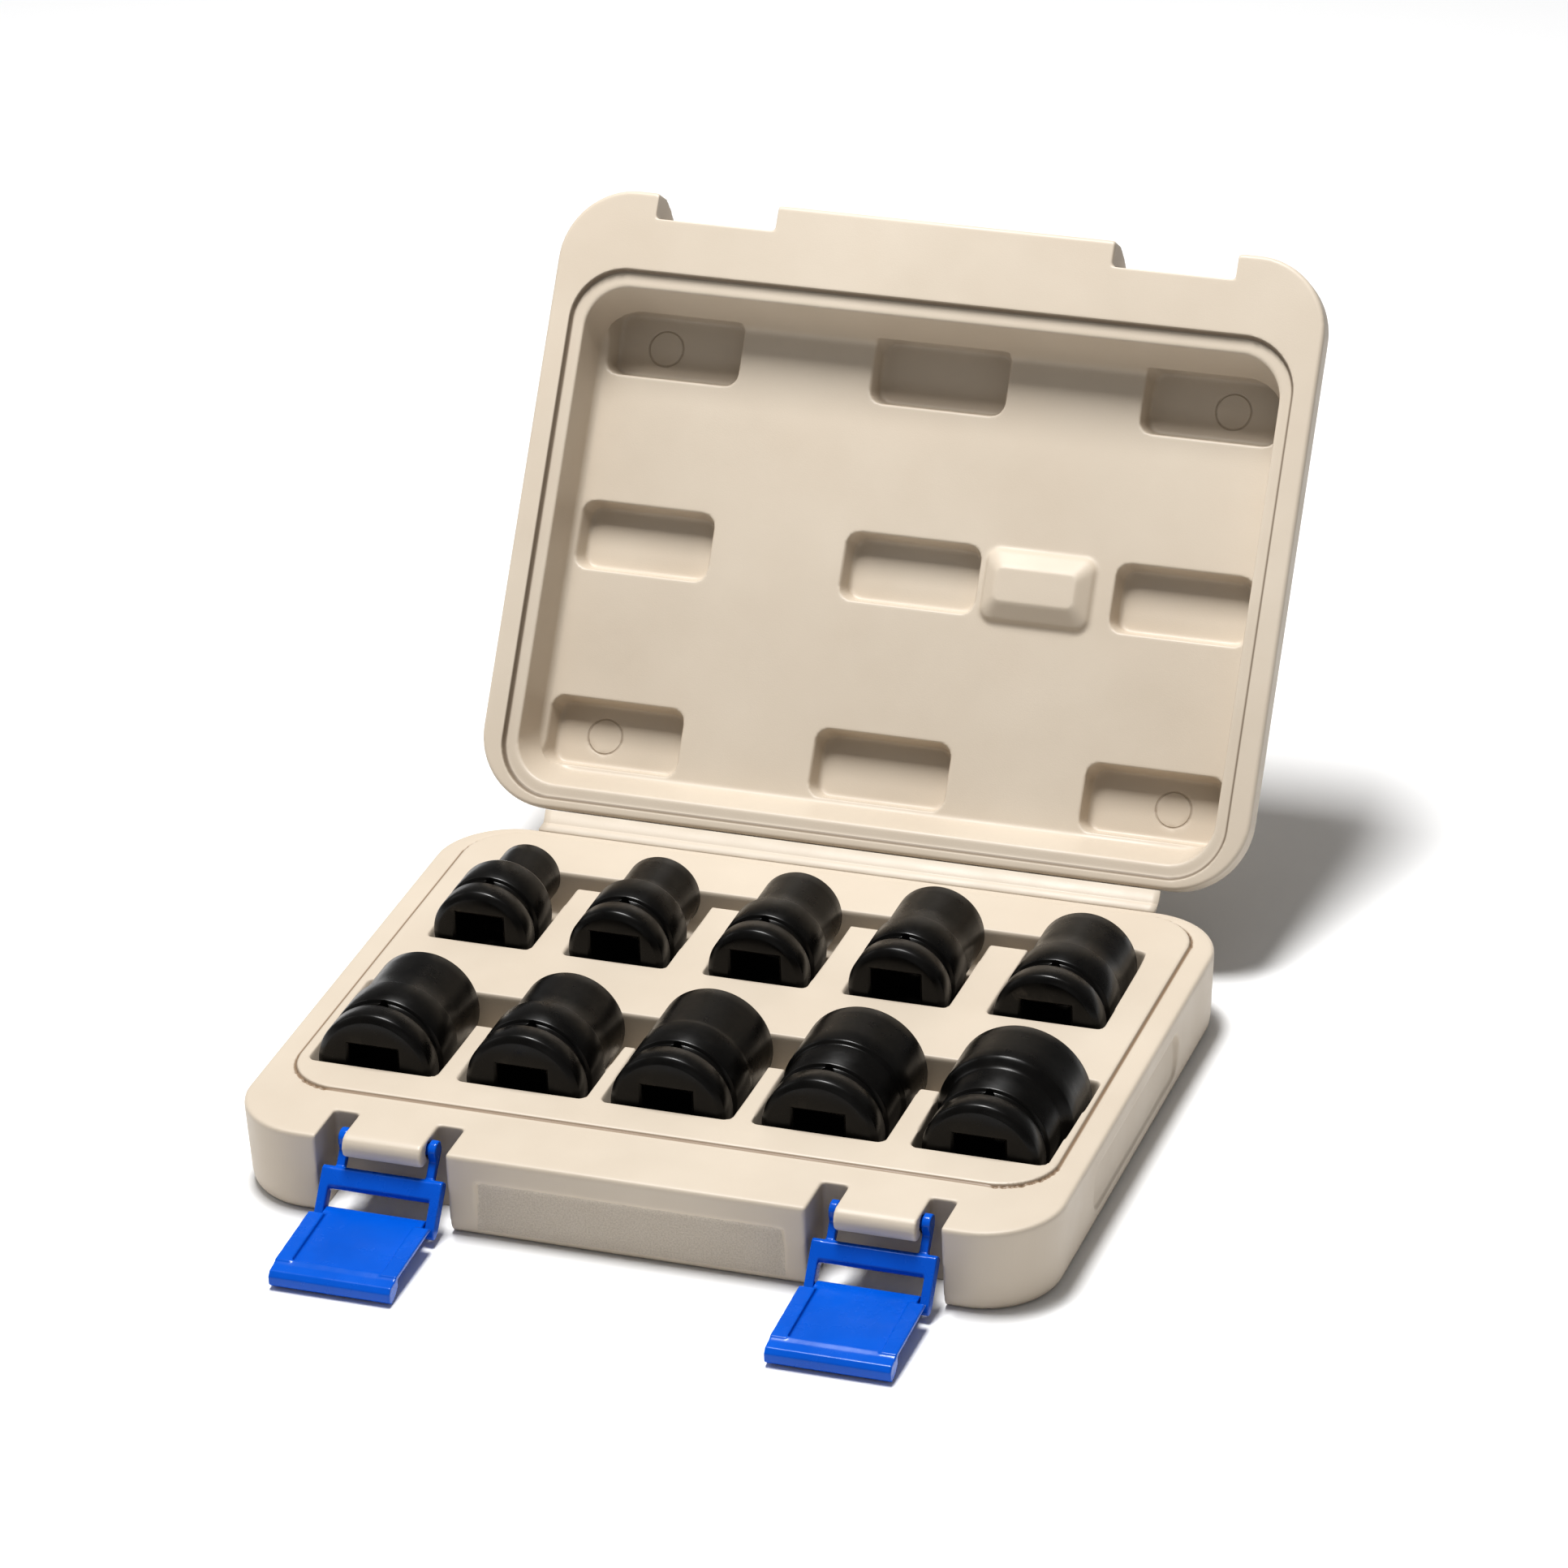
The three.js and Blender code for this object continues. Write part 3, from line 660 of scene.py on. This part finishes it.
def make_web():
    """The thin hinge web between the halves, creased along the axis; it bends across the hinge."""
    half, z = STRIP["w"] / 2, BASE_H - STRIP["t"]
    y0, y1 = BACK + GAP, HINGE.y - GAP / 2
    turn = Matrix.Rotation(math.radians(-OPEN_DEG), 4, "X")

    def opened(y, z):
        p = turn @ Vector((0, y - HINGE.y, z - HINGE.z))
        return p.y + HINGE.y, p.z + HINGE.z
    lid_z = LID_RIM + STRIP["t"]
    profile = [(y0, BASE_H), (y0, z + 0.25), (y0 + 0.25, z), (y1 - 0.6, z), (y1, BASE_H - 0.55)]
    profile += [opened(y1, LID_RIM + 0.55), opened(y1 - 0.6, lid_z), opened(y0 + 0.25, lid_z),
                opened(y0, lid_z - 0.25), opened(y0, LID_RIM), opened(y1, LID_RIM),
                (y1, BASE_H)]
    bm = bmesh.new()
    steps = 84
    rows = []
    for k in range(steps + 1):
        x = -half + 2 * half * k / steps
        rows.append([bm.verts.new(Vector((x, y, zz)) * MM) for y, zz in profile])
    count = len(profile)
    bm.faces.new(rows[0])
    bm.faces.new(reversed(rows[-1]))
    for one, two in zip(rows, rows[1:]):
        for i in range(count):
            j = (i + 1) % count
            bm.faces.new((one[i], two[i], two[j], one[j]))
    bmesh.ops.recalc_face_normals(bm, faces=bm.faces)
    web = new_object("hinge_web", bm)
    web.data.polygons.foreach_set("use_smooth", [True] * len(web.data.polygons))
    return web


# ---- latches ------------------------------------------------------------------------------------
def moulded_copy(node, name, voxel, rounds):
    """A softened, finely meshed copy of a CAD node, for a moulded piece whose shape is right."""
    mesh = frame["nodes"][node].data.copy()
    obj = bpy.data.objects.new(name, mesh)
    bpy.context.scene.collection.objects.link(obj)
    bm = bmesh.new()
    bm.from_mesh(mesh)
    bmesh.ops.remove_doubles(bm, verts=bm.verts, dist=1e-6)
    bm.to_mesh(mesh)
    bm.free()
    soften(obj, voxel, rounds)
    return thin(obj, 0.5)


# ---- sockets ------------------------------------------------------------------------------------
def make_socket(size):
    """A turned impact socket: chamfers, retaining-ring groove with its pin hole, stepped nose, bores."""
    nose, drive = SOCKETS[size]
    rd, rn, L = drive / 2, nose / 2, SOCKET_L
    step = abs(rd - rn)
    fall = min(step * 1.2, 5.5) if step > 0.4 else 2.0
    outline = [(0, 0), (rd - 1.9, 0), (rd - 1.55, 0.12), (rd - 0.25, 0.95), (rd, 1.45), (rd, 6.35),
               (rd - 0.2, 6.65), (rd - 1.0, 6.95), (rd - 1.1, 7.15), (rd - 1.1, 9.15),
               (rd - 1.0, 9.4), (rd - 0.2, 9.65), (rd, 9.95), (rd, L / 2)]
    for k in range(1, 7):
        t = k / 6
        outline.append((rd + (rn - rd) * (3 * t * t - 2 * t ** 3), L / 2 + fall * t))
    band = (L - BAND_FROM, L - BAND_TO)
    outline += [(rn, y) for y in band]
    outline += [(rn, L - 1.1), (rn - 0.25, L - 0.5), (rn - 0.95, L), (0, L)]
    body = lathe(outline, 96, f"socket_body_{size}")
    hex_r = (size + GAP) / math.sqrt(3)
    mouth = min(hex_r + 1, rn - 1.1)
    corners = [(hex_r * math.sin(math.pi / 3 * k), hex_r * math.cos(math.pi / 3 * k)) for k in range(6)]
    bore = hull([(x, y, z) for x, z in corners for y in (L - HEX_DEPTH, L + 1)])
    circle = [2 * math.pi * i / 48 for i in range(48)]
    flare = hull([((hex_r - 0.3) * math.cos(a), L - 1.2, (hex_r - 0.3) * math.sin(a)) for a in circle]
                 + [(mouth * math.cos(a), L + 0.05, mouth * math.sin(a)) for a in circle])
    sq = SQUARE / 2
    square = hull([(x, y, z) for x in (-sq, sq) for z in (-sq, sq) for y in (-1, SQUARE_DEPTH)])
    lead = hull([(x * (sq + 1.0), -0.3, z * (sq + 1.0)) for x in (-1, 1) for z in (-1, 1)]
                + [(x * sq, 0.7, z * sq) for x in (-1, 1) for z in (-1, 1)])
    middle = rod(1, 3.6, SQUARE_DEPTH - 1, L - HEX_DEPTH + 1, 0, 0, 48)
    pin = rod(2, 1.55, -rd - 2, rd + 2, 0, 8.15, 32)
    cut(body, bore, flare, square, lead, middle, pin)
    m = body.modifiers.new("edges", "BEVEL")
    m.width = 0.16 * MM
    m.segments = 2
    m.limit_method = "ANGLE"
    m.angle_limit = math.radians(35)
    m.harden_normals = False
    bake(body)
    body.data.polygons.foreach_set("use_smooth", [True] * len(body.data.polygons))
    body.data.set_sharp_from_angle(angle=math.radians(42))
    for face in body.data.polygons:
        far = math.hypot(face.center.x, face.center.z) / MM
        if band[0] < face.center.y / MM < band[1] and far > rn - 0.3:
            face.material_index = 1
    x, y, z = place_of(size)
    body.data.transform(Matrix.Translation(Vector((x, y, z)) * MM))
    return body


# ---- the object ---------------------------------------------------------------------------------
BASE_PLASTIC = case_plastic("base_plastic", tray_shade_line)
LID_PLASTIC = case_plastic("lid_plastic", lid_shade_lines)
WEB_PLASTIC = case_plastic("web_plastic")
STIPPLE = stipple_plastic()
BLUE = latch_plastic()
STEEL = socket_steel()
BAND = band_steel()


def finish_piece(obj, node, body, slot, *materials):
    paint(obj, *materials)
    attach(obj, body)
    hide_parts(node)


base = make_base()
finish_piece(base, "base_shell", "base", "case_plastic", BASE_PLASTIC, STIPPLE)
floor_y = (FRONT + 1.25 + 0.35) * MM
for face in base.data.polygons:
    c = face.center / MM
    inside = LABEL["x0"] < c.x < LABEL["x1"] and LABEL["z0"] < c.z < LABEL["z1"]
    if inside and face.center.y < floor_y + 0.4 * MM and face.normal.y < -0.85:
        face.material_index = 1

lid = make_lid()
finish_piece(lid, "lid_shell", "lid", "case_plastic", LID_PLASTIC)

web = make_web()
paint(web, WEB_PLASTIC)
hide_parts("hinge_strip_base", "hinge_strip_lid")
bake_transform(web)

for side in ("left", "right"):
    for kind in ("link", "lever"):
        node = f"latch_{kind}_{side}"
        finish_piece(moulded_copy(node, f"{kind}_{side}", 0.28, 3), node, node, "latch_plastic", BLUE)

for size in SOCKETS:
    piece = make_socket(size)
    finish_piece(piece, f"socket_{size}", f"socket_{size}", "socket_steel", STEEL, BAND)


# ---- stage --------------------------------------------------------------------------------------
def pale_floor():
    bm = bmesh.new()
    bmesh.ops.create_grid(bm, x_segments=2, y_segments=2, size=6.0)
    floor = new_object("floor", bm)
    n = Nodes("floor_white")
    tone = n.ramp(n.noise(2), [(0.3, (0.90, 0.90, 0.90)), (0.7, (0.93, 0.93, 0.93))])
    paint(floor, n.wire(Base_Color=tone, Roughness=0.9))


def area_light(name, at, target, size, power):
    data = bpy.data.lights.new(name, "AREA")
    data.shape = "RECTANGLE"
    data.size, data.size_y = size
    data.energy = power
    light = bpy.data.objects.new(name, data)
    bpy.context.scene.collection.objects.link(light)
    light.location = at
    light.rotation_euler = (Vector(target) - Vector(at)).to_track_quat("-Z", "Y").to_euler()


def set_camera():
    """The main view; its angles, place and lens were fitted together."""
    azimuth, elevation, roll = (math.radians(a) for a in (19.665, 27.12, -1.848))
    target = Vector((-11.582, 73.14, 50.933)) * MM
    distance = 1.824172
    back = Vector((math.sin(azimuth) * math.cos(elevation), -math.cos(azimuth) * math.cos(elevation),
                   math.sin(elevation)))
    right = Vector((math.cos(azimuth), math.sin(azimuth), 0))
    up = back.cross(right)
    x = right * math.cos(roll) + up * math.sin(roll)
    y = up * math.cos(roll) - right * math.sin(roll)
    data = bpy.data.cameras.new("camera")
    data.lens, data.sensor_width = 163.206, 36.0
    data.clip_start, data.clip_end = 0.05, 50
    camera = bpy.data.objects.new("camera", data)
    bpy.context.scene.collection.objects.link(camera)
    place = Matrix((x, y, back)).transposed().to_4x4()
    place.translation = target + back * distance
    camera.matrix_world = place
    bpy.context.scene.camera = camera


pale_floor()
world = bpy.data.worlds.new("studio")
bpy.context.scene.world = world
world.use_nodes = True
world.node_tree.nodes["Background"].inputs["Color"].default_value = (1, 1, 1, 1)
world.node_tree.nodes["Background"].inputs["Strength"].default_value = 0.19
area_light("overhead", (-0.12, 0.04, 1.3), (0, 0.05, 0.03), (0.48, 0.34), 20.5)
area_light("front_fill", (0.3, -1.4, 0.7), (0, 0.0, 0.05), (0.9, 0.6), 0.5)
area_light("left_soft", (-1.1, 0.0, 0.6), (0, 0.0, 0.05), (0.5, 0.5), 1.0)
set_camera()
bpy.context.scene.view_settings.view_transform = "Standard"
bpy.context.scene.view_settings.look = "Medium High Contrast"
